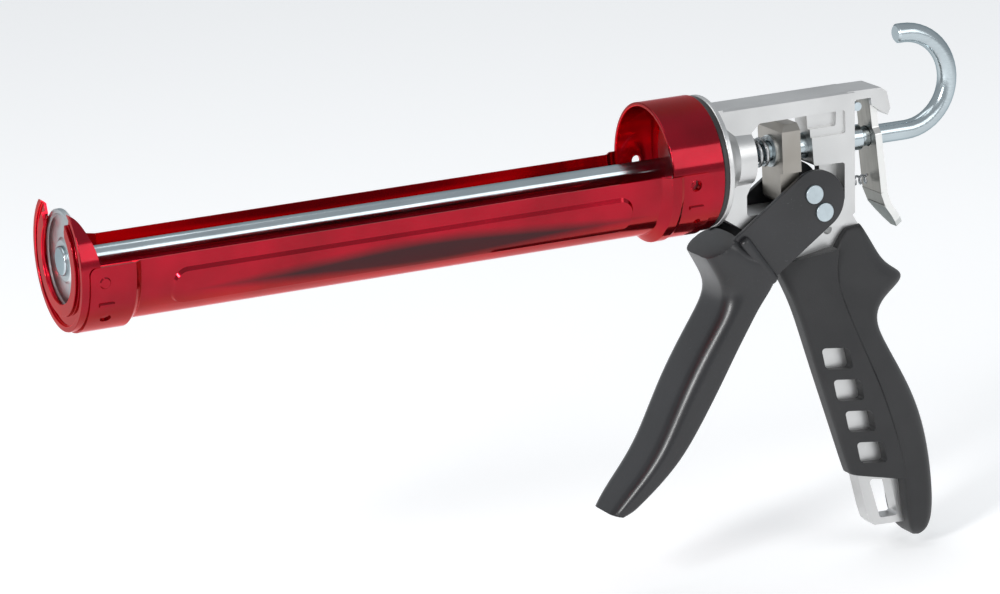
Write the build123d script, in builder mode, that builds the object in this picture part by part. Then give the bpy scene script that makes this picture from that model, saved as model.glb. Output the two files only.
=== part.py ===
"""Skeleton caulking gun with a rotating half-round cradle, a smooth push rod and a lever trigger.

Frame: X runs along the push rod, from the nose towards the hook; Z is up; Y runs across the handle.
The origin is the centre of the nose opening, on the rod's axis.
"""
import os

from build123d import *

os.makedirs("parts", exist_ok=True)

# ---------------------------------------------------------------- driving dimensions, mm
SHEET = 0.8  # cradle sheet steel
BARREL_R = 25.5  # outside of the trough
TROUGH_EDGE_Z = 2.3  # the trough's long edges stand a little above the rod axis
CAP_R = 27.3  # outside of the nose cap
CAP_SHEET = 1.0
NOSE_R = 16.5  # opening in the nose cap
THROAT = 11.8  # half the width between the two horns, where the opening runs out above
COLLAR_X = 249.0  # front rim of the rear collar
COLLAR_R = 27.5
COLLAR_WALL = 1.7
COLLAR_LEN = 22.5
ROD_R = 4.0
RUNNING = 0.05  # radial clearance of a running fit
PLUNGER_R = 20.0
PLUNGER_X = 2.2  # front face of the plunger's rim
HUB_R = 8.0  # frame hub that the cradle turns on
FLANGE_X = 274.0
FLANGE_R = 27.0
FLANGE_T = 2.2
FRAME_HALF = 8.5  # half the thickness of the casting's deep part
SPINE_HALF = 4.0  # half the thickness of the handle's spine
GUIDE_R = 5.25  # steel guide bush for the rod
HOOK_X = 368.6
HOOK_R = 20.3
FULCRUM = (323.6, -25.8)
DRIVE_PIN = (319.2, -17.8)
CHEEK_IN = 10.0  # inside of the trigger's cheeks
CHEEK_OUT = 12.0
CHANNEL_IN = 13.0  # inside of the trigger's finger channel
CHANNEL_OUT = 15.0
PLATE_X = 350.9  # middle of the release plate at its hinge
PLATE_T = 3.0
PLATE_TILT = 4.6  # degrees that the resting plate leans back
PLATE_HINGE_Z = 13.5
PANEL_MID = 134.5  # embossed flank panels of the trough
PANEL_LEN = 199.0
PANEL_WIDTH = 19.5
PANEL_ANGLE = 27.0
PANEL_RISE = 1.1
PANEL_SLOPE = 35.0


def outline(points, radius=0.0):
    """Face inside a closed outline, with its corners rounded where a radius is given."""
    with BuildLine(mode=Mode.PRIVATE) as edge:
        if radius:
            FilletPolyline(*points, radius=radius, close=True)
        else:
            Polyline(*points, close=True)
    make_face(edge.edges())


def radial_plane(x, angle, side, distance=0.0):
    """Plane at x whose normal points out from the rod axis, angle degrees below the horizontal."""
    out = Vector(0, side, 0).rotate(Axis.X, -side * angle)
    return Plane(origin=Vector(x, 0, 0) + out * distance, x_dir=(1, 0, 0), z_dir=out)


def panel(side, inner, outer, grow):
    """Long round-ended patch of a tube wall with sloping edges, used to emboss one flank of the trough."""
    with BuildPart() as patch:
        with BuildSketch(radial_plane(PANEL_MID, PANEL_ANGLE, side, BARREL_R - 3.0)):
            RectangleRounded(PANEL_LEN + 2 * grow, PANEL_WIDTH + 2 * grow, PANEL_WIDTH / 2.4)
        extrude(amount=5.0, taper=PANEL_SLOPE)
        with BuildSketch(Plane.YZ):
            Circle(outer)
            Circle(inner, mode=Mode.SUBTRACT)
        extrude(amount=300, mode=Mode.INTERSECT)
    return patch.part


def finish(builder, name):
    """Label a finished piece and write it."""
    builder.part.label = name
    export_step(builder.part, f"parts/{name}.step")


# ================================================================ cradle: turns about the rod axis
# Trough: half-round sheet, widened at both ends so that it wraps round the cap and the collar.
with BuildPart() as barrel:
    with BuildSketch(Plane.XY) as wall:
        with BuildLine():
            FilletPolyline(
                (3.2, CAP_R + SHEET),
                (21.5, CAP_R + SHEET),
                (24.5, BARREL_R),
                (244.5, BARREL_R),
                (247.5, COLLAR_R + SHEET + 0.7),
                (251.5, COLLAR_R + SHEET + 0.7),
                (252.8, COLLAR_R + SHEET),
                (266.0, COLLAR_R + SHEET),
                radius=0.7,
            )
            FilletPolyline(
                (3.2, CAP_R + 0.02),
                (21.5, CAP_R + 0.02),
                (24.5, BARREL_R - SHEET),
                (244.5, BARREL_R - SHEET),
                (247.5, COLLAR_R + 0.7),
                (251.5, COLLAR_R + 0.7),
                (252.8, COLLAR_R + 0.02),
                (266.0, COLLAR_R + 0.02),
                radius=0.7,
            )
            Line((3.2, CAP_R + SHEET), (3.2, CAP_R + 0.02))
            Line((266.0, COLLAR_R + SHEET), (266.0, COLLAR_R + 0.02))
        make_face()
    revolve(axis=Axis.X, revolution_arc=360)
    with BuildSketch(Plane.XY.offset(TROUGH_EDGE_Z)):
        with Locations((135, 0)):
            Rectangle(300, 80)
    extrude(amount=40, mode=Mode.SUBTRACT)
    # rounded corners of the two wrapping tabs
    for side in (1, -1):
        with BuildSketch(Plane.XZ.offset(-side * 30)):
            with Locations((3.2, TROUGH_EDGE_Z)):
                Rectangle(6, 6)
            with Locations((6.2, TROUGH_EDGE_Z - 3)):
                Circle(3, mode=Mode.SUBTRACT)
            with Locations((266.0, TROUGH_EDGE_Z)):
                Rectangle(6, 6)
            with Locations((263.0, TROUGH_EDGE_Z - 3)):
                Circle(3, mode=Mode.SUBTRACT)
        extrude(amount=side * 8, mode=Mode.SUBTRACT)
    for side in (1, -1):
        add(panel(side, BARREL_R - SHEET + 0.1, BARREL_R + PANEL_RISE, 0))
        hollow = panel(side, BARREL_R - SHEET - 1, BARREL_R - SHEET + PANEL_RISE, -SHEET)
        add(hollow, mode=Mode.SUBTRACT)
        # pressed tie bars and dimple, and the holes of the clinched joints
        for x, angle in ((9.9, 27.7), (258.9, 24.3)):
            wrap_r = CAP_R if x < 100 else COLLAR_R
            with BuildSketch(radial_plane(x, angle, side, wrap_r - 0.3 + SHEET)):
                RectangleRounded(6.8, 2.1, 0.9)
            extrude(amount=1.1, taper=20)
        with BuildSketch(radial_plane(8.9, 7.9, side, CAP_R - 0.3 + SHEET)):
            Circle(2.5)
        extrude(amount=0.9, taper=35)
        for x, angle, r in ((10.5, 44.0, 2.2), (258.2, 4.6, 2.4), (261.0, 40.5, 1.4)):
            with BuildSketch(radial_plane(x, angle, side)):
                Circle(r)
            extrude(amount=40, mode=Mode.SUBTRACT)
finish(barrel, "barrel")

# Nose cap: pressed cup with ringed face, cut away above so that a cartridge drops in.
with BuildPart() as front_cap:
    with BuildSketch(Plane.XY):
        outline(
            [
                (21.0, CAP_R),
                (0, CAP_R),
                (0, 25.0),
                (1.0, 25.0),
                (1.0, 21.2),
                (-0.6, 21.2),
                (-0.6, NOSE_R),
                (0.7, NOSE_R),
                (0.7, 20.2),
                (2.0, 20.2),
                (2.0, CAP_R - CAP_SHEET),
                (21.0, CAP_R - CAP_SHEET),
            ],
            0.3,
        )
    revolve(axis=Axis.X, revolution_arc=360)
    with BuildSketch(Plane.YZ.offset(-2)):
        outline([(-THROAT, 10), (-THROAT, 14), (-15.4, 24), (15.4, 24), (THROAT, 14), (THROAT, 10)])
    extrude(amount=30, mode=Mode.SUBTRACT)
    with BuildSketch(Plane.XZ):
        with BuildLine():
            horn = Spline((-2, 21.8), (1.4, 20.4), (4.4, 15.4), (6.6, 9.0), (7.8, TROUGH_EDGE_Z))
            Line(horn @ 1, (25, TROUGH_EDGE_Z))
            Line((25, TROUGH_EDGE_Z), (25, 40))
            Line((25, 40), (-2, 40))
            Line((-2, 40), horn @ 0)
        make_face()
    extrude(amount=40, both=True, mode=Mode.SUBTRACT)
finish(front_cap, "front_cap")

# Rear collar: short drawn tube that the trough is clinched to.
with BuildPart() as rear_collar:
    with BuildSketch(Plane.YZ.offset(COLLAR_X)):
        Circle(COLLAR_R)
        Circle(COLLAR_R - COLLAR_WALL, mode=Mode.SUBTRACT)
    extrude(amount=COLLAR_LEN)
    fillet(rear_collar.edges(), 0.5)
    for side in (1, -1):
        with BuildSketch(radial_plane(258.2, 4.6, side)):
            Circle(2.0)
        extrude(amount=40, mode=Mode.SUBTRACT)
finish(rear_collar, "rear_collar")

# Back plate: closes the collar and carries it on the frame's hub.
with BuildPart() as collar_back_plate:
    with BuildSketch(Plane.YZ.offset(268.2)):
        Circle(COLLAR_R - COLLAR_WALL)
        Circle(HUB_R + RUNNING, mode=Mode.SUBTRACT)
    extrude(amount=2.0)
    with BuildSketch(Plane.YZ.offset(267.6)):
        Circle(21)
        Circle(15, mode=Mode.SUBTRACT)
    extrude(amount=0.6)
finish(collar_back_plate, "collar_back_plate")

# ================================================================ frame: everything fixed to the casting
with BuildPart() as swivel_ring:
    with BuildSketch(Plane.YZ.offset(271.65)):
        Circle(26.8)
        Circle(20, mode=Mode.SUBTRACT)
    extrude(amount=FLANGE_X - 271.65)
    fillet(swivel_ring.edges().filter_by(GeomType.CIRCLE).sort_by(SortBy.RADIUS)[-2:], 0.5)
finish(swivel_ring, "swivel_ring")

with BuildPart() as thrust_washer:
    with BuildSketch(Plane.YZ.offset(266.55)):
        Circle(12)
        Circle(HUB_R + RUNNING, mode=Mode.SUBTRACT)
    extrude(amount=0.95)
finish(thrust_washer, "thrust_washer")

with BuildPart() as hub_circlip:
    with BuildSketch(Plane.YZ.offset(265.5)):
        Circle(9.4)
        Circle(HUB_R - 0.8, mode=Mode.SUBTRACT)
        with Locations((0, 9)):
            Rectangle(4, 6, mode=Mode.SUBTRACT)
    extrude(amount=1.0)
finish(hub_circlip, "hub_circlip")

# Casting: flange and hub, top bar with the drive window, rear post, and the spine inside the handle.
SPINE = [
    (309.0, -33.0),
    (311.5, -47.0),
    (317.0, -60.0),
    (328.8, -104.0),
    (339.4, -143.0),
    (342.6, -157.7),
    (344.2, -163.0),
    (346.6, -165.2),
    (360.2, -165.8),
    (361.6, -158.0),
    (358.5, -140.0),
    (349.0, -104.0),
    (338.5, -76.0),
    (338.0, -62.0),
    (343.5, -50.0),
    (344.0, -36.5),
    (339.6, -29.0),
    (333.0, -24.0),
]
LOOP_HOLE = [
    (344.6, -144.8),
    (354.6, -146.6),
    (358.0, -162.6),
    (349.2, -162.4),
]
DRIVE_WINDOW = [
    (290.2, -23.5),
    (290.4, -15.0),
    (293.7, -9.0),
    (293.7, 10.6),
    (297.4, 14.0),
    (320.4, 14.2),
    (321.4, -7.0),
    (335.6, -7.4),
    (335.0, -23.5),
]
TAIL = [
    (338.0, 21.4),
    (353.6, 21.2),
    (356.2, 19.2),
    (357.6, 12.2),
    (356.2, 9.4),
    (348.9, 14.6),
    (348.6, 17.6),
    (338.0, 17.6),
]
with BuildPart() as frame:
    with BuildSketch(Plane.YZ.offset(FLANGE_X)):
        Circle(FLANGE_R)
    extrude(amount=FLANGE_T)
    fillet(frame.edges(), 0.5)
    with BuildSketch(Plane.YZ.offset(264.8)):
        Circle(HUB_R)
    extrude(amount=12)
    # cone behind the flange, then the round spring housing
    with BuildSketch(Plane.XY):
        outline(
            [
                (FLANGE_X + 1, 0),
                (FLANGE_X + 1, 23.8),
                (279.0, 19.8),
                (282.5, 15.8),
                (286.0, 13.4),
                (293.6, 13.2),
                (293.6, 0),
            ]
        )
    revolve(axis=Axis.X, revolution_arc=360)
    with BuildSketch(Plane.XZ):
        outline(
            [
                (FLANGE_X + 1, 21.6),
                (341.2, 21.6),
                (339.6, -29.0),
                (334.0, -33.4),
                (318.0, -33.4),
                (307.0, -29.0),
                (287.8, -28.6),
                (279.5, -22.9),
                (FLANGE_X + 1, -20.0),
            ]
        )
    extrude(amount=FRAME_HALF, both=True)
    # bevels along the top bar
    for side in (1, -1):
        with BuildSketch(Plane.YZ.offset(281.0)):
            outline([(side * 9.5, 19.8), (side * 9.5, 22.6), (side * 6.7, 22.6)])
        extrude(amount=70, mode=Mode.SUBTRACT)
    # drive window with the lower pocket that the drive pin swings in
    with BuildSketch(Plane.XZ):
        outline(DRIVE_WINDOW, 1.2)
    extrude(amount=20, both=True, mode=Mode.SUBTRACT)
    # thin wall across the rear of the lower pocket, and the fulcrum boss
    with BuildSketch(Plane.XZ):
        outline([(327.2, -24.5), (327.2, -6.5), (336.5, -6.5), (336.0, -24.5)])
    extrude(amount=2.0, both=True)
    with BuildSketch(Plane.XZ):
        with Locations(FULCRUM):
            Circle(5.9)
    extrude(amount=FRAME_HALF, both=True)
    # stepped lightening pockets beside the guide bush
    for side in (1, -1):
        with BuildSketch(Plane.XZ.offset(side * (FRAME_HALF - 1.2))):
            outline([(318.0, 4.6), (318.0, 14.2), (336.5, 14.2), (336.4, 4.6)], 1.2)
        extrude(amount=side * 5, mode=Mode.SUBTRACT)
        with BuildSketch(Plane.XZ.offset(side * (FRAME_HALF - 3.2))):
            outline([(318.0, 8.0), (318.0, 14.2), (333.0, 14.2), (332.6, 8.0)], 1.0)
        extrude(amount=side * 5, mode=Mode.SUBTRACT)
    # handle spine with the hanging eye
    with BuildSketch(Plane.XZ):
        outline(SPINE)
    extrude(amount=SPINE_HALF, both=True)
    with BuildSketch(Plane.XZ):
        outline(LOOP_HOLE, 1.3)
    extrude(amount=20, both=True, mode=Mode.SUBTRACT)
    with BuildSketch(Plane.XZ):
        with Locations((329.0, -35.6)):
            Circle(2.0)
    extrude(amount=20, both=True, mode=Mode.SUBTRACT)
    # tail: thin roof and hood that holds the top of the release plate
    with BuildSketch(Plane.XZ):
        outline(TAIL)
    extrude(amount=8.2, both=True)
    with BuildSketch(Plane.XY):
        with Locations((346.0, 0)):
            Rectangle(14.6, 12.6)
    extrude(amount=17.8, mode=Mode.SUBTRACT)
    # bores: rod, spring seat and guide bush
    with BuildSketch(Plane.YZ.offset(260)):
        Circle(6.0)
    extrude(amount=45, mode=Mode.SUBTRACT)
    with BuildSketch(Plane.YZ.offset(289)):
        Circle(6.9)
    extrude(amount=12, mode=Mode.SUBTRACT)
    with BuildSketch(Plane.YZ.offset(310)):
        Circle(GUIDE_R)
    extrude(amount=40, mode=Mode.SUBTRACT)
    # groove for the circlip
    with BuildSketch(Plane.YZ.offset(265.5)):
        Circle(HUB_R + 1)
        Circle(HUB_R - 0.8, mode=Mode.SUBTRACT)
    extrude(amount=1.0, mode=Mode.SUBTRACT)
    # fulcrum bore and the seat of the release spring
    with BuildSketch(Plane.XZ):
        with Locations(FULCRUM):
            Circle(3.0 + RUNNING)
    extrude(amount=20, both=True, mode=Mode.SUBTRACT)
finish(frame, "frame")

# Steel bushes pressed into the casting for the rod.
with BuildPart() as front_bush:
    with BuildSketch(Plane.YZ.offset(264.8)):
        Circle(6.0)
        Circle(ROD_R + RUNNING, mode=Mode.SUBTRACT)
    extrude(amount=23.2)
finish(front_bush, "front_bush")

with BuildPart() as guide_bush:
    with BuildSketch(Plane.YZ.offset(316.2)):
        Circle(GUIDE_R)
        Circle(ROD_R + RUNNING, mode=Mode.SUBTRACT)
    extrude(amount=30.8)
    chamfer(guide_bush.edges().sort_by(Axis.X)[-2:], 0.4)
finish(guide_bush, "guide_bush")

# Cross pin that stops the release plate from falling forward.
with BuildPart() as tail_pin:
    with BuildSketch(Plane.XZ):
        with Locations((343.6, 14.2)):
            Circle(1.8)
    extrude(amount=6.2, both=True)
finish(tail_pin, "tail_pin")

# Handle covers: soft moulding over the spine, thin in front and wider at the palm.
GRIP_FRONT = [
    (304.8, -46.6),
    (309.0, -56.0),
    (313.4, -65.5),
    (318.6, -82.4),
    (326.5, -109.2),
    (334.6, -136.3),
]
CREASE = [
    (331.6, -41.4),
    (328.2, -47.6),
    (328.2, -54.0),
    (334.0, -72.5),
    (345.0, -98.3),
    (352.6, -121.0),
    (357.6, -141.0),
    (358.4, -146.0),
]
GRIP_SECTION = [
    (-8.0, -4.6),
    (1.2, -5.2),
    (26.0, -11.6),
    (60.0, -11.6),
    (60.0, 11.6),
    (26.0, 11.6),
    (1.2, 5.2),
    (-8.0, 4.6),
]
with BuildPart() as grip_cover:
    with BuildSketch(Plane.XZ):
        with BuildLine():
            front = Spline(*GRIP_FRONT)
            Polyline(front @ 1, (336.4, -141.9), CREASE[-1])
            back = Spline(*CREASE)
            Polyline(back @ 0, (320.0, -46.2), (311.0, -47.4), front @ 0)
        make_face()
    extrude(amount=14, both=True)
    # wedge section, square to the handle
    handle_plane = Plane(origin=(304.8, 0, -30), x_dir=(0.954, 0, 0.301), z_dir=(0.301, 0, -0.954))
    with BuildSketch(handle_plane):
        outline(GRIP_SECTION)
    extrude(amount=160, mode=Mode.INTERSECT)
    with BuildSketch(Plane.XZ):
        outline(SPINE)
    extrude(amount=SPINE_HALF, both=True, mode=Mode.SUBTRACT)
    # four windows in each flank show the spine
    for row in range(4):
        x = 330.4 + row * 5.0
        z = -90.0 - row * 14.2
        with BuildSketch(Plane.XZ):
            outline(
                [(x - 5.9, z + 5.4), (x + 5.1, z + 4.0), (x + 7.3, z - 5.2), (x - 3.4, z - 4.4)],
                1.6,
            )
        extrude(amount=20, both=True, mode=Mode.SUBTRACT)
finish(grip_cover, "grip_cover")

BACK = [(344.4, -34.4), (350.2, -45.2), (354.2, -52.4), (359.6, -56.6)]
PALM = [
    (361.6, -61.6),
    (354.0, -66.0),
    (348.4, -72.6),
    (348.6, -78.6),
    (354.8, -90.0),
    (364.6, -108.8),
    (370.2, -127.0),
    (373.0, -150.0),
    (373.2, -164.0),
]
with BuildPart() as backstrap:
    with BuildSketch(Plane.XZ):
        with BuildLine():
            upper = Spline(*BACK)
            palm = Spline(*PALM)
            ThreePointArc(upper @ 1, (362.5, -59.2), palm @ 0)
            ThreePointArc(palm @ 1, (370.6, -171.2), (364.9, -173.4))
            Polyline((364.9, -173.4), (359.4, -168.9), (358.6, -160.0), CREASE[-1])
            crease = Spline(*CREASE)
            Polyline(crease @ 0, (337.0, -35.0), upper @ 0)
        make_face()
    extrude(amount=12.5, both=True)
    with BuildSketch(Plane.XZ):
        outline(SPINE)
    extrude(amount=SPINE_HALF, both=True, mode=Mode.SUBTRACT)
finish(backstrap, "backstrap")

# ================================================================ trigger: swings on the fulcrum pin
FRONT = [
    (271.2, -39.6),
    (276.4, -47.6),
    (278.0, -53.4),
    (275.8, -60.3),
    (265.5, -75.4),
    (256.0, -90.7),
    (244.0, -114.0),
    (231.6, -128.9),
    (224.3, -138.2),
]
REAR = [
    (226.6, -139.8),
    (242.7, -130.0),
    (252.1, -121.3),
    (262.0, -108.4),
    (271.5, -92.6),
    (281.3, -76.5),
    (299.3, -48.7),
]
CHEEK_HEAD = (320.4, -20.6)
CHEEK_HEAD_R = 12.6
CHEEK = [
    (283.6, -31.6),
    (285.6, -28.0),
    (293.5, -24.2),
    (311.4, -11.8),
    CHEEK_HEAD,
    (328.6, -30.6),
    (310.6, -41.2),
    (299.3, -48.7),
]
STEP = [(284.0, -31.0), (285.4, -28.6), (302.6, -49.4), (299.0, -50.6)]


def trigger_side(dx, dz, rear_shift):
    """Side face of the finger channel, shifted by (dx, dz), its open edge moved back by rear_shift."""
    with BuildLine(mode=Mode.PRIVATE) as edge:
        front = Spline(*[(x + dx, z + dz) for x, z in FRONT])
        Polyline(
            front @ 1,
            *[(x + rear_shift, z - rear_shift / 2) for x, z in REAR],
            (305 + rear_shift, -30.6 + dz),
            (286.0 + dx, -30.6 + dz),
            (270.6 + dx, -37.8 + dz),
            front @ 0,
        )
    make_face(edge.edges())


with BuildPart() as trigger:
    with BuildSketch(Plane.XZ):
        trigger_side(0, 0, 0)
    extrude(amount=CHANNEL_OUT, both=True)
    # the wide channel ends at a slanted step below the cheeks
    with BuildSketch(Plane.XZ):
        outline([(285.2, -29.6), (302.6, -49.8), (320, -60), (320, -20), (290, -20)])
    extrude(amount=20, both=True, mode=Mode.SUBTRACT)
    outer_edges = trigger.edges().filter_by(lambda e: abs(abs(e.center().Y) - CHANNEL_OUT) < 0.01)
    fillet(outer_edges.filter_by(lambda e: e.length > 60 and e.center().X < 262), 2.5)
    with BuildSketch(Plane.XZ):
        trigger_side(2.5, -1.0, 30)
    extrude(amount=CHANNEL_IN, both=True, mode=Mode.SUBTRACT)
    # cheeks with round heads, stepped in from the channel
    for side in (1, -1):
        with BuildSketch(Plane.XZ.offset(side * CHEEK_IN)):
            outline(CHEEK)
            with Locations(CHEEK_HEAD):
                Circle(CHEEK_HEAD_R)
        extrude(amount=side * (CHEEK_OUT - CHEEK_IN))
        with BuildSketch(Plane.XZ.offset(side * CHEEK_IN)):
            outline(STEP)
        extrude(amount=side * (CHANNEL_OUT - CHEEK_IN))
    for place in (FULCRUM, DRIVE_PIN):
        with BuildSketch(Plane.XZ):
            with Locations(place):
                Circle(3.0 if place == FULCRUM else 2.5)
        extrude(amount=20, both=True, mode=Mode.SUBTRACT)
finish(trigger, "trigger")


def rivet(place, radius, head_r):
    """Headed cross pin through both cheeks."""
    with BuildPart() as pin:
        with BuildSketch(Plane.XZ):
            with Locations(place):
                Circle(radius)
        extrude(amount=CHEEK_OUT, both=True)
        for side in (1, -1):
            with BuildSketch(Plane.XZ.offset(side * CHEEK_OUT)):
                with Locations(place):
                    Circle(head_r)
            extrude(amount=side * 1.0)
        fillet(pin.edges().filter_by(lambda e: abs(abs(e.center().Y) - CHEEK_OUT - 1.0) < 0.01), 0.35)
    return pin


fulcrum_pin = rivet(FULCRUM, 3.0, 3.9)
finish(fulcrum_pin, "fulcrum_pin")
drive_pin = rivet(DRIVE_PIN, 2.5, 3.9)
finish(drive_pin, "drive_pin")

# Spacing washers between the fulcrum boss and the cheeks.
with BuildPart() as cheek_washers:
    for side in (1, -1):
        with BuildSketch(Plane.XZ.offset(side * (FRAME_HALF + 0.1))):
            with Locations(FULCRUM):
                Circle(5.6)
                Circle(3.0, mode=Mode.SUBTRACT)
        extrude(amount=side * (CHEEK_IN - FRAME_HALF - 0.1))
finish(cheek_washers, "cheek_washers")

# ================================================================ drive block: grips the rod and pushes it
BLOCK = [
    (306.2, -19.6),
    (306.2, 9.2),
    (308.6, 11.9),
    (314.6, 11.9),
    (314.6, -11.0),
    (316.2, -13.0),
    (316.2, -21.0),
    (307.6, -21.0),
]
with BuildPart() as drive_block:
    with BuildSketch(Plane.XZ):
        outline(BLOCK)
    extrude(amount=10.5, both=True)
    chamfer(drive_block.edges().filter_by(Axis.X).filter_by(lambda e: e.center().Z > 11), 2.6)
    # the foot is narrower, so that it passes between the cheeks
    for side in (1, -1):
        with BuildSketch(Plane.YZ.offset(300)):
            with Locations((side * 11.5, -15)):
                Rectangle(7.0, 14.0)
        extrude(amount=20, mode=Mode.SUBTRACT)
    with BuildSketch(Plane.YZ.offset(300)):
        Circle(ROD_R + RUNNING + 0.03)
    extrude(amount=20, mode=Mode.SUBTRACT)
finish(drive_block, "drive_block")

with BuildPart() as spring_washer:
    with BuildSketch(Plane.YZ.offset(305.3)):
        Circle(6.6)
        Circle(ROD_R + 0.3, mode=Mode.SUBTRACT)
    extrude(amount=0.9)
finish(spring_washer, "spring_washer")


def coil(name, start, length, mean_r, wire_r, turns, axis_z):
    """Compression spring along X."""
    with BuildPart() as spring:
        rise = length - 2 * wire_r
        with BuildLine() as path:
            Helix(rise / turns, rise, mean_r, center=(start + wire_r, 0, axis_z), direction=(1, 0, 0))
        with BuildSketch(Plane(origin=path.line @ 0, z_dir=path.line % 0)):
            Circle(wire_r)
        sweep(is_frenet=True)
    finish(spring, name)
    return spring


return_spring = coil("return_spring", 289.2, 16.0, 5.3, 0.8, 5, 0)

# ================================================================ release plate
PLATE_BEND = 37.0
PLATE = [
    (-5.9, 3.4),
    (5.9, 3.4),
    (5.9, -9.0),
    (8.0, -11.5),
    (8.0, -PLATE_BEND),
    (-8.0, -PLATE_BEND),
    (-8.0, -11.5),
    (-5.9, -9.0),
]
PLATE_TAIL = [
    (-7.7, 1.2),
    (7.7, 1.2),
    (6.9, -4.4),
    (5.2, -8.8),
    (2.6, -12.4),
    (-2.6, -12.4),
    (-5.2, -8.8),
    (-6.9, -4.4),
]


def cross_plane(origin):
    """Plane across the rod, whose own y runs up the plate."""
    return Plane(origin=origin, x_dir=(0, 1, 0), z_dir=(1, 0, 0))


with BuildPart() as release_plate:
    plate_plane = cross_plane((PLATE_X, 0, PLATE_HINGE_Z)).rotated((0, -PLATE_TILT, 0))
    with BuildSketch(plate_plane):
        outline(PLATE, 1.0)
    extrude(amount=PLATE_T / 2, both=True)
    # thumb tail, bent back in two steps
    bend_plane = cross_plane(plate_plane.from_local_coords(Vector(0, -PLATE_BEND, 0))).rotated((0, -20, 0))
    with BuildSketch(bend_plane):
        outline([(-8.0, 0.8), (8.0, 0.8), (7.6, -6.0), (-7.6, -6.0)])
    extrude(amount=PLATE_T / 2, both=True)
    tail_plane = cross_plane(bend_plane.from_local_coords(Vector(0, -5.6, 0))).rotated((0, -37, 0))
    with BuildSketch(tail_plane):
        outline(PLATE_TAIL, 1.0)
    extrude(amount=PLATE_T / 2, both=True)
    with BuildSketch(Plane.YZ.offset(340)):
        Circle(ROD_R + 0.32)
    extrude(amount=30, mode=Mode.SUBTRACT)
finish(release_plate, "release_plate")

release_spring = coil("release_spring", 340.5, 10.6, 1.6, 0.5, 4, -18.0)

# ================================================================ plunger and rod
DISC = [
    (PLUNGER_X, 3.05),
    (PLUNGER_X, 8.0),
    (PLUNGER_X + 0.8, 9.0),
    (PLUNGER_X + 0.8, 17.6),
    (PLUNGER_X, 18.4),
    (PLUNGER_X, PLUNGER_R),
    (PLUNGER_X + 2.0, PLUNGER_R),
    (PLUNGER_X + 2.0, 3.05),
]
with BuildPart() as plunger_disc:
    with BuildSketch(Plane.XY):
        outline(DISC, 0.3)
    revolve(axis=Axis.X, revolution_arc=360)
finish(plunger_disc, "plunger_disc")

with BuildPart() as plunger_washer:
    with BuildSketch(Plane.YZ.offset(PLUNGER_X + 2.05)):
        Circle(11)
        Circle(3.05, mode=Mode.SUBTRACT)
    extrude(amount=2.4)
    chamfer(plunger_washer.edges().sort_by(Axis.X)[-2:-1], 0.4)
finish(plunger_washer, "plunger_washer")

with BuildPart() as rod:
    with BuildSketch(Plane.YZ.offset(PLUNGER_X - 1.2)):
        Circle(3.0)
    extrude(amount=6.0)
    with BuildSketch(Plane.YZ.offset(PLUNGER_X + 4.6)):
        Circle(ROD_R)
    extrude(amount=HOOK_X - PLUNGER_X - 4.6)
# The bent end is the same bar; it is kept as a second solid that meets the straight one face to face.
with BuildPart() as rod_end:
    with BuildLine() as path:
        ThreePointArc((HOOK_X, 0, 0), (HOOK_X + HOOK_R, 0, HOOK_R), (HOOK_X, 0, 2 * HOOK_R))
        Line((HOOK_X, 0, 2 * HOOK_R), (HOOK_X - 3.2, 0, 2 * HOOK_R))
    with BuildSketch(Plane.YZ.offset(HOOK_X)):
        Circle(ROD_R)
    sweep(path=path.line)
    chamfer(rod_end.edges().sort_by(Axis.X)[:1], 0.8)
rod_bar = Compound(children=[rod.part, rod_end.part], label="rod")
export_step(rod_bar, "parts/rod.step")

with BuildPart() as plunger_rivet:
    with BuildSketch(Plane.YZ.offset(PLUNGER_X - 1.4)):
        Circle(5.8)
    extrude(amount=1.35)
    with BuildSketch(Plane.YZ.offset(PLUNGER_X - 1.2)):
        Circle(3.0)
    extrude(amount=5, mode=Mode.SUBTRACT)
    fillet(plunger_rivet.edges().sort_by(Axis.X)[0], 0.8)
finish(plunger_rivet, "plunger_rivet")
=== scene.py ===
"""Skeleton caulking gun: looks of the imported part, on a pale studio floor."""
import math

import bpy
from mathutils import Matrix, Vector


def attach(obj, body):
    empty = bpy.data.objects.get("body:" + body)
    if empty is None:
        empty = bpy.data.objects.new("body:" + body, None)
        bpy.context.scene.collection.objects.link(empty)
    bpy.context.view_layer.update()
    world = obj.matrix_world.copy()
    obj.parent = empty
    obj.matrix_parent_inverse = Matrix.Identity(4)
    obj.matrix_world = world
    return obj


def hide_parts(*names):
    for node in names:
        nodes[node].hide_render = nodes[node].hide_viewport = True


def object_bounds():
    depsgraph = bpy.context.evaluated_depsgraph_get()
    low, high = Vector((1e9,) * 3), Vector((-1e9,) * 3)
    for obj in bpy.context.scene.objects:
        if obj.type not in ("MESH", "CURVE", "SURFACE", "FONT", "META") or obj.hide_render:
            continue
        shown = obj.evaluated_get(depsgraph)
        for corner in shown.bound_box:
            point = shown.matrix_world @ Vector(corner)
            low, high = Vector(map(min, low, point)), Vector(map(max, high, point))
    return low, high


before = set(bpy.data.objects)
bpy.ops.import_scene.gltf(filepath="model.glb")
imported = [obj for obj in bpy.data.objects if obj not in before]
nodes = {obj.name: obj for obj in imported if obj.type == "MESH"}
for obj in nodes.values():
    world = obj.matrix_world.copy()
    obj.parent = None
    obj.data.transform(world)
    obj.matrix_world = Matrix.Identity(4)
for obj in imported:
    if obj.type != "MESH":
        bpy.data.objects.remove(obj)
cad_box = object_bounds()
MM = 0.001  # shapes are written in millimetres, the frame is in metres

# ---------------------------------------------------------------- cradle
# Trough, nose cap and rear collar are pressed from bright sheet steel and sprayed with a transparent
# red lacquer, so the steel's shine comes through the colour. They are clinched to each other.


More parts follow.
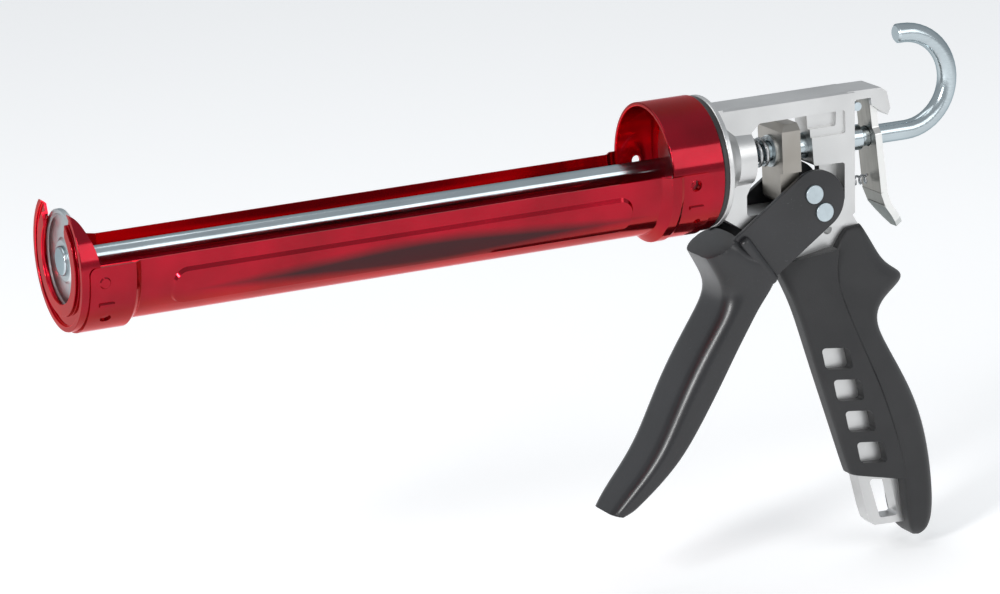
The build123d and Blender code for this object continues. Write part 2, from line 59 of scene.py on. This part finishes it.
def node_group(name, inputs, outputs):
    """An empty shader group with named float or colour sockets."""
    group = bpy.data.node_groups.new(name, "ShaderNodeTree")
    for direction, sockets in (("INPUT", inputs), ("OUTPUT", outputs)):
        for label, value in sockets.items():
            kind = "NodeSocketColor" if isinstance(value, tuple) else "NodeSocketFloat"
            socket = group.interface.new_socket(name=label, in_out=direction, socket_type=kind)
            if direction == "INPUT":
                socket.default_value = value
    return group


def feed(tree, socket, value):
    """Link an input to an output, or set its plain value; a colour is given without alpha."""
    if isinstance(value, bpy.types.NodeSocket):
        tree.links.new(value, socket)
    elif socket.type == "RGBA":
        socket.default_value = (*value, 1)
    else:
        socket.default_value = value


def put(tree, kind, **settings):
    """A node with its properties and inputs set; inputs go by name, or by number as i0, i1 and so on."""
    node = tree.nodes.new(kind)
    for key, value in settings.items():
        if hasattr(node, key):
            setattr(node, key, value)
        elif key[0] == "i" and key[1:].isdigit():
            feed(tree, node.inputs[int(key[1:])], value)
        else:
            feed(tree, node.inputs[key], value)
    return node


def ramp(tree, value, low, high, out_low=0.0, out_high=1.0):
    """Values from low to high mapped onto out_low to out_high, and held beyond."""
    node = put(tree, "ShaderNodeMapRange", i0=value, i1=low, i2=high, i3=out_low, i4=out_high)
    return node.outputs[0]


def blend(tree, factor, a, b):
    """Colour a where factor is 0, and b where it is 1."""
    node = tree.nodes.new("ShaderNodeMix")
    node.data_type = "RGBA"
    for socket, value in ((node.inputs[0], factor), (node.inputs[6], a), (node.inputs[7], b)):
        feed(tree, socket, value)
    return node.outputs[2]


def maths(tree, operation, a, b=0.0):
    """One step of arithmetic on values or sockets."""
    return put(tree, "ShaderNodeMath", operation=operation, i0=a, i1=b).outputs[0]


def dull(tree, shader, wear, base, spread, low=0.0, high=1.0):
    """Roughness from base up to base + spread, as wear goes from low to high."""
    rough = maths(tree, "ADD", ramp(tree, wear, low, high, 0.0, spread), base)
    tree.links.new(rough, shader.inputs["Roughness"])


def grain(tree, shader, height, strength, distance):
    """Bump the shader's surface by a height; distance is in metres."""
    bump = put(tree, "ShaderNodeBump", Strength=strength, Distance=distance, Height=height)
    tree.links.new(bump.outputs[0], shader.inputs["Normal"])


# orange peel and slow unevenness of a sprayed or moulded surface
skin_group = node_group("skin", {"Size mm": 1.0, "Depth": 0.2}, {"Height": 0.0, "Cloud": 0.0})
t = skin_group
place = put(t, "ShaderNodeTexCoord").outputs["Object"]
entry = t.nodes.new("NodeGroupInput")
leave = t.nodes.new("NodeGroupOutput")
scale = maths(t, "DIVIDE", 1000.0, entry.outputs["Size mm"])
fine = put(t, "ShaderNodeTexNoise", Vector=place, Scale=scale, Detail=3.0, Roughness=0.55)
slow = put(t, "ShaderNodeTexNoise", Vector=place, Scale=38.0, Detail=2.0, Roughness=0.5)
t.links.new(maths(t, "MULTIPLY", fine.outputs[0], entry.outputs["Depth"]), leave.inputs["Height"])
t.links.new(slow.outputs[0], leave.inputs["Cloud"])

# light handling marks: thin scratches at random angles, and dull smudges
marks_group = node_group("handling_marks", {"Amount": 0.5}, {"Scratch": 0.0, "Smudge": 0.0})
t = marks_group
place = put(t, "ShaderNodeTexCoord").outputs["Object"]
entry = t.nodes.new("NodeGroupInput")
leave = t.nodes.new("NodeGroupOutput")
bent = put(t, "ShaderNodeTexNoise", Vector=place, Scale=14.0, Detail=2.0)
turned = put(t, "ShaderNodeVectorMath", operation="ADD", i0=place, i1=bent.outputs["Color"])
SCRATCH_TURN = (0.5, 0.7, 0.4)
SCRATCH_STRETCH = (60.0, 900.0, 900.0)
stretched = put(
    t, "ShaderNodeMapping", Vector=turned.outputs[0], Rotation=SCRATCH_TURN, Scale=SCRATCH_STRETCH
)
line = put(t, "ShaderNodeTexNoise", Vector=stretched.outputs[0], Scale=1.0, Detail=1.0)
thin = ramp(t, line.outputs[0], 0.70, 0.76)
t.links.new(maths(t, "MULTIPLY", thin, entry.outputs["Amount"]), leave.inputs["Scratch"])
patch = put(t, "ShaderNodeTexNoise", Vector=place, Scale=70.0, Detail=4.0, Roughness=0.6)
smudge = ramp(t, patch.outputs[0], 0.45, 0.75)
t.links.new(maths(t, "MULTIPLY", smudge, entry.outputs["Amount"]), leave.inputs["Smudge"])


def material(name, **uniform):
    """A new material with its Principled shader's plain values set; gives material, tree and shader."""
    made = bpy.data.materials.new(name)
    made.use_nodes = True
    tree = made.node_tree
    shader = tree.nodes["Principled BSDF"]
    for key, value in uniform.items():
        shader.inputs[key.replace("_", " ")].default_value = value
    return made, tree, shader


def use(tree, group, **values):
    """The shader group placed in a material with its own values."""
    node = tree.nodes.new("ShaderNodeGroup")
    node.node_tree = group
    for key, value in values.items():
        node.inputs[key.replace("_", " ")].default_value = value
    return node


def paint(made, *names):
    """Give CAD nodes a material."""
    for name in names:
        nodes[name].data.materials.clear()
        nodes[name].data.materials.append(made)


def lacquer(name, shade):
    """Transparent red lacquer over bright steel, with painted light on the faces that look towards the
    axis; shade darkens it.
    """
    made, t, s = material(name, Metallic=0.94, Coat_Weight=0.35, Coat_Roughness=0.04, Coat_IOR=1.5)
    s.inputs["Specular Tint"].default_value = (1.0, 0.14, 0.18, 1)
    skin = use(t, skin_group, Size_mm=1.6, Depth=0.12)
    marks = use(t, marks_group, Amount=0.5)
    deep = (0.27 * shade, 0.0012, 0.010)
    bright = (0.38 * shade, 0.0018, 0.015)
    red = blend(t, ramp(t, skin.outputs["Cloud"], 0.35, 0.65), deep, bright)
    # painted light: faces that look towards the axis get a brighter red, a painted stand-in for light
    # bounced inside the trough and collar
    coords = put(t, "ShaderNodeTexCoord")
    place, facing = coords.outputs["Object"], coords.outputs["Normal"]
    radial = put(t, "ShaderNodeVectorMath", operation="MULTIPLY", i0=place, i1=(0, 1, 1))
    outwards = put(t, "ShaderNodeVectorMath", operation="DOT_PRODUCT", i0=facing, i1=radial.outputs[0])
    painted_inner_light = ramp(t, outwards.outputs["Value"], -0.001, -0.006)
    red = blend(t, painted_inner_light, red, (0.78 * shade, 0.002, 0.022))
    red = blend(t, ramp(t, marks.outputs["Scratch"], 0.0, 1.0, 0.0, 0.25), red, (0.8, 0.10, 0.12))
    dull(t, s, marks.outputs["Smudge"], 0.12, 0.10)
    grain(t, s, skin.outputs["Height"], 0.10, 0.0004)
    return made, t, s, red


cap_red, t, s, red = lacquer("red_lacquer_cap", 0.95)
t.links.new(red, s.inputs["Base Color"])
paint(cap_red, "front_cap", "rear_collar")

# on the trough a black fade is printed along the middle of each embossed flank panel
FADE_MID_X = 0.143
FADE_HALF_LENGTH = 0.100
FADE_Z = -0.0132
FADE_HALF_HEIGHT = 0.0078
FADE_EDGE = 0.0045  # width of its soft edge
FADE_POINT = 1.5  # how slowly it narrows towards its ends
FADE_STRENGTH = 0.93
trough_red, t, s, red = lacquer("red_lacquer_trough", 1.0)
at = put(t, "ShaderNodeSeparateXYZ", i0=put(t, "ShaderNodeTexCoord").outputs["Object"])
along = maths(t, "DIVIDE", maths(t, "SUBTRACT", at.outputs[0], FADE_MID_X), FADE_HALF_LENGTH)
narrowing = maths(t, "POWER", maths(t, "ABSOLUTE", along), FADE_POINT)
taper = maths(t, "MULTIPLY", maths(t, "SUBTRACT", 1.0, narrowing), FADE_HALF_HEIGHT)
across = maths(t, "ABSOLUTE", maths(t, "SUBTRACT", at.outputs[2], FADE_Z))
inside = maths(t, "SUBTRACT", taper, across)
fade = maths(t, "MULTIPLY", ramp(t, inside, 0.0, FADE_EDGE), FADE_STRENGTH)
t.links.new(blend(t, fade, red, (0.015, 0.010, 0.011)), s.inputs["Base Color"])
paint(trough_red, "barrel")

# ---------------------------------------------------------------- zinc plated steel parts
# Rod, plunger, bushes, pins and plates are turned or stamped mild steel, bright zinc plated, which gives
# a bluish white shine with fine drawing lines.


def zinc(name, tint, rough, stretch, along, strength, sheared=None):
    """Zinc plate with drawing lines.

    stretch is the lines' scale on each axis, along the roughness and strength the bump that they add.
    sheared is the colour of the faces that look along Y.
    """
    made, t, s = material(name, Metallic=1.0)
    s.inputs["Specular Tint"].default_value = (0.42, 0.50, 0.53, 1)
    place = put(t, "ShaderNodeTexCoord").outputs["Object"]
    lines = put(t, "ShaderNodeMapping", Vector=place, Scale=stretch)
    drawn = put(t, "ShaderNodeTexNoise", Vector=lines.outputs[0], Scale=1.0, Detail=3.0)
    skin = use(t, skin_group, Size_mm=0.8, Depth=0.3)
    marks = use(t, marks_group, Amount=0.6)
    dark = tuple(c * 0.80 for c in tint)
    colour = blend(t, ramp(t, skin.outputs["Cloud"], 0.3, 0.7), dark, tint)
    darker = tuple(c * 0.70 for c in tint)
    colour = blend(t, ramp(t, drawn.outputs[0], 0.35, 0.7, 0.0, 0.35), colour, darker)
    if sheared:
        normal = put(t, "ShaderNodeTexCoord").outputs["Normal"]
        facing = maths(t, "ABSOLUTE", put(t, "ShaderNodeSeparateXYZ", i0=normal).outputs[1])
        colour = blend(t, ramp(t, facing, 0.5, 0.9), colour, sheared)
    t.links.new(colour, s.inputs["Base Color"])
    spread = maths(t, "ADD", ramp(t, drawn.outputs[0], 0.3, 0.7, 0.0, along), rough)
    spread = maths(t, "ADD", spread, ramp(t, marks.outputs["Smudge"], 0.0, 1.0, 0.0, 0.08))
    t.links.new(spread, s.inputs["Roughness"])
    grain(t, s, drawn.outputs[0], strength, 0.0003)
    return made


rod_zinc = zinc("zinc_rod", (0.54, 0.61, 0.64), 0.12, (30.0, 2500.0, 2500.0), 0.10, 0.08)
paint(rod_zinc, "rod", "plunger_rivet", "guide_bush", "front_bush")
disc_zinc = zinc("zinc_disc", (0.72, 0.76, 0.77), 0.30, (400.0, 400.0, 400.0), 0.10, 0.10)
paint(disc_zinc, "plunger_disc", "plunger_washer", "collar_back_plate", "thrust_washer", "spring_washer")
plate_zinc = zinc(
    "zinc_plate", (0.42, 0.40, 0.37), 0.30, (700.0, 700.0, 60.0), 0.14, 0.14, sheared=(0.80, 0.80, 0.78)
)
paint(plate_zinc, "release_plate")
pin_zinc = zinc("zinc_pin", (0.58, 0.66, 0.70), 0.30, (500.0, 500.0, 500.0), 0.08, 0.08)
paint(pin_zinc, "fulcrum_pin", "drive_pin", "tail_pin", "cheek_washers")
spring_wire = zinc("spring_wire", (0.52, 0.53, 0.54), 0.22, (900.0, 300.0, 300.0), 0.08, 0.08)
paint(spring_wire, "return_spring", "release_spring", "hub_circlip")

# ---------------------------------------------------------------- casting
# The body is an aluminium die casting, tumbled smooth: flange, top bar, rear post and the spine that
# runs down inside the handle. Its skin is even and satin with a fine grain.
cast, t, s = material("cast_aluminium", Metallic=1.0)
skin = use(t, skin_group, Size_mm=0.5, Depth=0.5)
marks = use(t, marks_group, Amount=0.5)
colour = blend(t, ramp(t, skin.outputs["Cloud"], 0.3, 0.7), (0.55, 0.55, 0.545), (0.66, 0.66, 0.655))
colour = blend(t, ramp(t, marks.outputs["Scratch"], 0.0, 1.0, 0.0, 0.4), colour, (0.9, 0.9, 0.9))
t.links.new(colour, s.inputs["Base Color"])
dull(t, s, skin.outputs["Height"], 0.30, 0.12, 0.1, 0.4)
grain(t, s, skin.outputs["Height"], 0.18, 0.0003)
paint(cast, "frame")

# ---------------------------------------------------------------- drive block
# A hardened steel block that bites on the rod when the trigger tilts it. It is sintered and nickel
# plated, so it is darker and duller than the casting round it.
block, t, s = material("sintered_nickel", Metallic=1.0)
skin = use(t, skin_group, Size_mm=0.4, Depth=0.6)
marks = use(t, marks_group, Amount=0.6)
colour = blend(t, ramp(t, skin.outputs["Cloud"], 0.3, 0.7), (0.32, 0.30, 0.27), (0.41, 0.39, 0.36))
t.links.new(colour, s.inputs["Base Color"])
dull(t, s, marks.outputs["Smudge"], 0.34, 0.15)
grain(t, s, skin.outputs["Height"], 0.22, 0.0003)
paint(block, "drive_block")

# ---------------------------------------------------------------- swivel ring
# A moulded ring of black nylon between the collar and the flange. The cradle turns against it, so it
# is plain and matt, with no marks of handling.
ring_black, t, s = material("black_nylon")
skin = use(t, skin_group, Size_mm=0.6, Depth=0.4)
colour = blend(t, skin.outputs["Cloud"], (0.012, 0.011, 0.011), (0.022, 0.020, 0.020))
t.links.new(colour, s.inputs["Base Color"])
t.links.new(ramp(t, skin.outputs["Height"], 0.0, 0.4, 0.36, 0.5), s.inputs["Roughness"])
paint(ring_black, "swivel_ring")

# ---------------------------------------------------------------- trigger
# The trigger is pressed from sheet steel into a channel with a round front, which narrows at a rolled
# step to two flat cheeks. It hangs on the fulcrum pin by the cheeks, and is stoved in black enamel.
enamel, t, s = material("black_enamel", Specular_IOR_Level=0.38, Coat_Weight=0.35, Coat_Roughness=0.22)
skin = use(t, skin_group, Size_mm=1.1, Depth=0.35)
marks = use(t, marks_group, Amount=0.6)
colour = blend(t, ramp(t, skin.outputs["Cloud"], 0.3, 0.7), (0.009, 0.009, 0.010), (0.015, 0.015, 0.017))
colour = blend(t, ramp(t, marks.outputs["Scratch"], 0.0, 1.0, 0.0, 0.5), colour, (0.14, 0.14, 0.15))
t.links.new(colour, s.inputs["Base Color"])
dull(t, s, marks.outputs["Smudge"], 0.33, 0.12)
grain(t, s, skin.outputs["Height"], 0.12, 0.0004)


def pick(obj, test, kind="VERT"):
    """In edit mode, select what passes the test on its place (mm) and, for faces, its normal."""
    bpy.ops.object.mode_set(mode="OBJECT")
    mesh = obj.data
    for group in (mesh.vertices, mesh.edges, mesh.polygons):
        group.foreach_set("select", [False] * len(group))
    if kind == "VERT":
        for v in mesh.vertices:
            v.select = bool(test(v.co / MM))
    elif kind == "EDGE":
        for e in mesh.edges:
            ends = [mesh.vertices[i].co / MM for i in e.vertices]
            e.select = bool(test((ends[0] + ends[1]) / 2, ends[1] - ends[0]))
    else:
        for f in mesh.polygons:
            f.select = bool(test(f.center / MM, f.normal))
    bpy.ops.object.mode_set(mode="EDIT")
    bpy.ops.mesh.select_mode(type=kind)


def start(kind, **settings):
    """A new primitive, alone selected, in edit mode."""
    bpy.ops.object.select_all(action="DESELECT")
    getattr(bpy.ops.mesh, f"primitive_{kind}_add")(**settings)
    bpy.ops.object.transform_apply(location=True, rotation=True, scale=True)
    bpy.ops.object.mode_set(mode="EDIT")
    return bpy.context.object


def turn_about_y(angle, centre):
    """Turn the selection so that its own +X swings towards -Z by angle."""
    bpy.ops.transform.rotate(value=-angle, orient_axis="Y", center_override=centre)


def loft(name, depth, width, front_round, rear_round, front_narrow, stations):
    """Solid with a rounded four-sided section, carried through stations of (front, rear, half width).

    front_round and rear_round are each (radius, segments), and front_narrow scales the front's width.
    """
    body = start("plane", size=1.0)
    body.name = name
    bpy.ops.transform.resize(value=(depth * MM, width * MM, 1.0), center_override=(0, 0, 0))
    for sign, (radius, segments) in ((-1, front_round), (1, rear_round)):
        if sign < 0 and front_narrow != 1.0:
            pick(body, lambda p: p.x < 0)
            bpy.ops.transform.resize(value=(1.0, front_narrow, 1.0), center_override=(0, 0, 0))
        if radius:
            pick(body, lambda p, sign=sign: p.x * sign > depth * 0.49)
            bpy.ops.mesh.bevel(
                offset=radius * MM, offset_type="OFFSET", segments=segments, affect="VERTICES"
            )
    bpy.ops.mesh.select_all(action="SELECT")
    held_depth, held_width, held_angle, held = depth, width, 0.0, Vector((0, 0, 0))
    for count, (front, rear, half) in enumerate(stations):
        if count:
            bpy.ops.mesh.extrude_region_move()
        run = Vector((rear[0] - front[0], 0, rear[1] - front[1]))
        angle = math.atan2(-run.z, run.x)
        centre = Vector((front[0] + rear[0], 0, front[1] + rear[1])) * 0.5 * MM
        turn_about_y(-held_angle, held)
        shape = (run.length / held_depth, 2 * half / held_width, 1.0)
        bpy.ops.transform.resize(value=shape, center_override=held)
        turn_about_y(angle, held)
        bpy.ops.transform.translate(value=centre - held)
        held_depth, held_width, held_angle, held = run.length, 2 * half, angle, centre
    bpy.ops.mesh.select_all(action="SELECT")
    bpy.ops.mesh.normals_make_consistent(inside=False)
    bpy.ops.object.mode_set(mode="OBJECT")
    return body


def crease_ends(body, stations, amount):
    """Crease the edges of the first and last section."""
    for front, rear, _ in (stations[0], stations[-1]):
        middle = Vector((front[0] + rear[0], 0, front[1] + rear[1])) / 2
        run = Vector((rear[0] - front[0], 0, rear[1] - front[1])).normalized()
        across = Vector((run.z, 0, -run.x))

        def in_section(p, d, middle=middle, across=across):
            return abs((p - middle).dot(across)) < 0.02 and abs(d.dot(across)) < 0.02

        pick(body, in_section, "EDGE")
        bpy.ops.transform.edge_crease(value=amount)
    bpy.ops.object.mode_set(mode="OBJECT")


def apply_modifier(obj, kind, **settings):
    """Add a modifier and apply it."""
    bpy.context.view_layer.objects.active = obj
    step = obj.modifiers.new(kind.lower(), kind)
    for key, value in settings.items():
        setattr(step, key, value)
    bpy.ops.object.modifier_apply(modifier=step.name)


def join(name, *parts):
    """Join objects into the first, under a new name."""
    bpy.ops.object.select_all(action="DESELECT")
    for part in parts:
        part.select_set(True)
    bpy.context.view_layer.objects.active = parts[0]
    bpy.ops.object.join()
    parts[0].name = name
    return parts[0]


SMOOTH_UP_TO = math.radians(38)


def settle(obj, finish, body, slot, *replaced):
    """Smooth shading, material, and the piece's place in the frame."""
    bpy.ops.object.select_all(action="DESELECT")
    obj.select_set(True)
    bpy.context.view_layer.objects.active = obj
    bpy.ops.object.shade_smooth_by_angle(angle=SMOOTH_UP_TO)
    obj.data.materials.clear()
    obj.data.materials.append(finish)
    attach(obj, body)
    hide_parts(*replaced)


SHEET = 2.0
SLOT_HALF = 3.0  # the channel is open behind, over this half width
# the channel from its shoulder to its tip: front edge, rear edge (X, Z) and half width
CHANNEL = [
    ((270.8, -38.2), (285.4, -30.0), 14.4),
    ((273.2, -42.6), (291.0, -36.6), 15.0),
    ((276.0, -47.8), (297.0, -43.4), 15.0),
    ((277.8, -53.4), (301.4, -49.4), 15.0),
    ((276.0, -60.0), (292.6, -59.0), 15.0),
    ((271.6, -66.6), (287.6, -66.8), 15.0),
    ((265.5, -75.4), (281.3, -76.5), 15.0),
    ((260.6, -83.0), (276.4, -84.6), 15.0),
    ((256.0, -90.7), (271.5, -92.6), 15.0),
    ((250.0, -102.2), (264.8, -103.4), 14.6),
    ((244.0, -113.6), (257.2, -114.8), 14.1),
    ((237.8, -121.8), (250.4, -122.8), 13.4),
    ((231.4, -128.8), (242.2, -130.4), 12.5),
    ((226.4, -134.6), (235.0, -136.4), 11.4),
    ((223.6, -138.4), (230.4, -140.4), 10.2),
]
channel = loft("trigger_channel", 16.0, 30.0, (7.6, 8), (0.0, 1), 1.0, CHANNEL)
pick(channel, lambda p, n: abs(p.y) < SLOT_HALF and n.x > 0.3 and p.z < -34, "FACE")
bpy.ops.mesh.delete(type="FACE")
bpy.ops.object.mode_set(mode="OBJECT")
apply_modifier(channel, "SOLIDIFY", thickness=SHEET * MM, offset=-1.0)
crease_ends(channel, CHANNEL, 0.6)
apply_modifier(channel, "SUBSURF", levels=2, render_levels=2)

HEAD = Vector((320.4, 0, -20.6))  # centre of the cheeks' round end
HEAD_R = 12.6
CHEEK_Y = 11.0
STEP_RUN = Vector((-29.0, 0, -19.8))  # from the round end to the rolled step
ROLL_R = 2.7
ROLL_LENGTH = 23.8
ROLL_END_R = 1.4
ROLL_Y = 12.3
towards = STEP_RUN.normalized()
across = Vector((towards.z, 0, -towards.x))
parts = [channel]
for side in (1, -1):
    cheek = start(
        "cylinder",
        vertices=64,
        radius=HEAD_R * MM,
        depth=SHEET * MM,
        location=(HEAD.x * MM, side * CHEEK_Y * MM, HEAD.z * MM),
        rotation=(math.pi / 2, 0, 0),
    )
    pick(cheek, lambda p, n: abs(n.y) < 0.5 and n.dot(towards) > 0.02, "FACE")
    bpy.ops.mesh.extrude_region_move(TRANSFORM_OT_translate={"value": STEP_RUN * MM})
    bpy.ops.mesh.select_all(action="SELECT")
    cut = (HEAD + STEP_RUN * 1.08) * MM
    bpy.ops.mesh.bisect(plane_co=cut, plane_no=towards, clear_outer=True, use_fill=True)
    bpy.ops.mesh.select_all(action="SELECT")
    bpy.ops.mesh.normals_make_consistent(inside=False)
    bpy.ops.object.mode_set(mode="OBJECT")
    apply_modifier(cheek, "BEVEL", width=0.5 * MM, segments=3, limit_method="ANGLE")
    # rolled step between the cheek and the channel
    roll = start("cylinder", vertices=32, radius=ROLL_R * MM, depth=ROLL_LENGTH * MM)
    pick(roll, lambda p, n: abs(n.z) > 0.9, "FACE")
    bpy.ops.mesh.bevel(offset=ROLL_END_R * MM, segments=4, affect="EDGES")
    bpy.ops.mesh.select_all(action="SELECT")
    turn_about_y(math.atan2(across.x, across.z), (0, 0, 0))
    middle = HEAD + STEP_RUN * 0.995 - across * 1.4
    bpy.ops.transform.translate(value=(middle.x * MM, side * ROLL_Y * MM, middle.z * MM))
    bpy.ops.object.mode_set(mode="OBJECT")
    parts += [cheek, roll]
trigger_look = join("trigger_lever", *parts)
settle(trigger_look, enamel, "trigger", "black_enamel", "trigger")

# ---------------------------------------------------------------- handle covers
# Two soft elastomer mouldings over the spine: a front cover with four windows, and a wider backstrap
# with a thumb spur. Their skin is matt with a fine spark-eroded grain.
rubber, t, s = material(
    "black_elastomer", Specular_IOR_Level=0.42, Sheen_Weight=0.08, Sheen_Roughness=0.5
)
skin = use(t, skin_group, Size_mm=0.35, Depth=0.8)
marks = use(t, marks_group, Amount=0.7)
colour = blend(t, ramp(t, skin.outputs["Cloud"], 0.3, 0.7), (0.012, 0.012, 0.013), (0.020, 0.020, 0.021))
colour = blend(t, ramp(t, marks.outputs["Smudge"], 0.0, 1.0, 0.0, 0.30), colour, (0.040, 0.040, 0.041))
t.links.new(colour, s.inputs["Base Color"])
dull(t, s, marks.outputs["Smudge"], 0.52, 0.15)
grain(t, s, skin.outputs["Height"], 0.30, 0.0003)

BACK = [
    ((336.8, -35.6), (344.2, -35.0), 7.0),
    ((333.2, -39.6), (347.2, -39.8), 8.2),
    ((330.0, -45.0), (350.3, -45.4), 8.9),
    ((328.6, -50.0), (353.6, -51.4), 9.6),
    ((328.2, -54.5), (357.8, -55.2), 10.8),
    ((328.8, -57.6), (361.7, -57.6), 12.0),
    ((329.6, -60.0), (362.2, -60.2), 12.5),
    ((330.6, -62.8), (358.5, -63.2), 12.5),
    ((332.0, -66.6), (353.3, -66.8), 12.4),
    ((333.8, -71.4), (349.6, -71.4), 12.3),
    ((336.4, -78.2), (348.9, -77.8), 12.3),
    ((340.5, -87.6), (353.0, -86.6), 12.4),
    ((345.4, -98.8), (359.6, -98.8), 12.5),
    ((349.6, -110.6), (365.4, -110.8), 12.5),
    ((353.2, -122.4), (369.4, -123.4), 12.5),
    ((356.2, -134.4), (371.6, -136.0), 12.4),
    ((358.4, -146.0), (372.8, -148.4), 12.0),
    ((358.9, -156.0), (373.2, -159.0), 11.4),
    ((359.8, -164.4), (372.4, -166.6), 10.4),
    ((361.8, -169.6), (370.2, -170.8), 8.4),
    ((364.4, -172.2), (367.4, -172.6), 5.0),
]
strap = loft("backstrap_moulding", 20.0, 25.0, (2.4, 4), (8.5, 8), 0.96, BACK)
crease_ends(strap, BACK, 0.35)
apply_modifier(strap, "SUBSURF", levels=2, render_levels=2)
settle(strap, rubber, "frame", "black_elastomer", "backstrap")

FRONT = [
    ((304.9, -46.9), (331.0, -42.6), 11.2),
    ((307.4, -52.4), (329.2, -49.5), 11.3),
    ((310.6, -59.2), (329.8, -57.5), 11.4),
    ((313.4, -65.5), (332.0, -65.0), 11.5),
    ((316.2, -74.0), (335.2, -73.2), 11.6),
    ((318.6, -82.4), (338.8, -82.0), 11.6),
    ((322.4, -95.6), (343.8, -94.0), 11.6),
    ((326.5, -109.2), (349.0, -107.0), 11.6),
    ((330.6, -122.8), (353.2, -120.4), 11.6),
    ((334.2, -135.0), (357.2, -134.0), 11.4),
    ((335.7, -139.8), (358.8, -143.4), 11.2),
    ((336.4, -141.6), (359.2, -145.8), 11.0),
]
cover = loft("front_cover_moulding", 21.0, 23.2, (3.2, 6), (0.8, 3), 0.46, FRONT)
crease_ends(cover, FRONT, 0.8)
apply_modifier(cover, "SUBSURF", levels=2, render_levels=2)
# four windows, cut right through to show the spine; each leans with the handle
WINDOW = (11.2 * MM, 40.0 * MM, 9.4 * MM)
WINDOW_LEAN = 1.9
WINDOW_RISE = 0.7
WINDOW_ROUND = 1.9
cutters = []
for row in range(4):
    x, z = 330.6 + 4.9 * row, -89.9 - 14.2 * row
    hole = start("cube", size=1.0, location=(x * MM, 0, z * MM), scale=WINDOW)
    pick(hole, lambda p: p.z > z)
    bpy.ops.transform.translate(value=(-WINDOW_LEAN * MM, 0, 0))
    pick(hole, lambda p: p.x < x)
    bpy.ops.transform.translate(value=(0, 0, WINDOW_RISE * MM))
    pick(hole, lambda p, d: abs(d.y) > 10, "EDGE")
    bpy.ops.mesh.bevel(offset=WINDOW_ROUND * MM, segments=6, affect="EDGES")
    bpy.ops.object.mode_set(mode="OBJECT")
    cutters.append(hole)
holes = join("window_cutter", *cutters)
apply_modifier(cover, "BOOLEAN", object=holes, operation="DIFFERENCE", solver="EXACT")
bpy.data.objects.remove(holes)
settle(cover, rubber, "frame", "black_elastomer", "grip_cover")

# ---------------------------------------------------------------- studio
# A pale matt floor just below the object, three soft boxes aimed at its middle, and a long lens on
# the near side, ahead of the nose.
MIDDLE = (0.2, 0.0, -0.02)
FLOOR_GAP = 0.004
lowest = min(v[2] for v in cad_box)
bpy.ops.object.select_all(action="DESELECT")
bpy.ops.mesh.primitive_plane_add(size=14.0, location=(MIDDLE[0], 0.0, lowest - FLOOR_GAP))
floor = bpy.context.object
floor.name = "studio_floor"
pale, t, s = material("pale_floor", Roughness=0.85, Specular_IOR_Level=0.1)
s.inputs["Base Color"].default_value = (0.93, 0.93, 0.93, 1)
s.inputs["Emission Color"].default_value = (1, 1, 1, 1)
s.inputs["Emission Strength"].default_value = 0.22
floor.data.materials.append(pale)

world = bpy.data.worlds.new("studio_air")
bpy.context.scene.world = world
world.use_nodes = True
air = world.node_tree.nodes["Background"]
air.inputs["Color"].default_value = (0.92, 0.96, 1.0, 1)
air.inputs["Strength"].default_value = 0.55


def soft_box(name, place, aim, width, height, power):
    """Rectangular area light at place, facing aim."""
    light = bpy.data.lights.new(name, "AREA")
    light.shape = "RECTANGLE"
    light.size = width
    light.size_y = height
    light.energy = power
    lamp = bpy.data.objects.new(name, light)
    bpy.context.scene.collection.objects.link(lamp)
    lamp.location = place
    lamp.rotation_euler = (Vector(aim) - Vector(place)).to_track_quat("-Z", "Y").to_euler()


soft_box("top_box", (0.0, 0.15, 1.4), MIDDLE, 1.3, 0.7, 5.0)
soft_box("front_box", (0.90, -1.45, 0.62), MIDDLE, 1.3, 0.85, 6.5)
soft_box("left_box", (-1.00, -0.85, 0.65), MIDDLE, 0.25, 0.6, 14.0)

EYE = (-0.56057, -1.67090, 0.43705)
view = bpy.data.cameras.new("camera")
view.sensor_width = 36.0
view.lens = 171.3
camera = bpy.data.objects.new("camera", view)
bpy.context.scene.collection.objects.link(camera)
RIGHT = Vector((0.90709, -0.41798, -0.04974)).normalized()
UP = Vector((0.14994, 0.21042, 0.96604))
AWAY = RIGHT.cross(UP).normalized()
UP = AWAY.cross(RIGHT)
turn = Matrix((RIGHT, UP, AWAY)).transposed().to_4x4()
camera.matrix_world = Matrix.Translation(EYE) @ turn
bpy.context.scene.camera = camera
bpy.context.scene.view_settings.view_transform = "Standard"
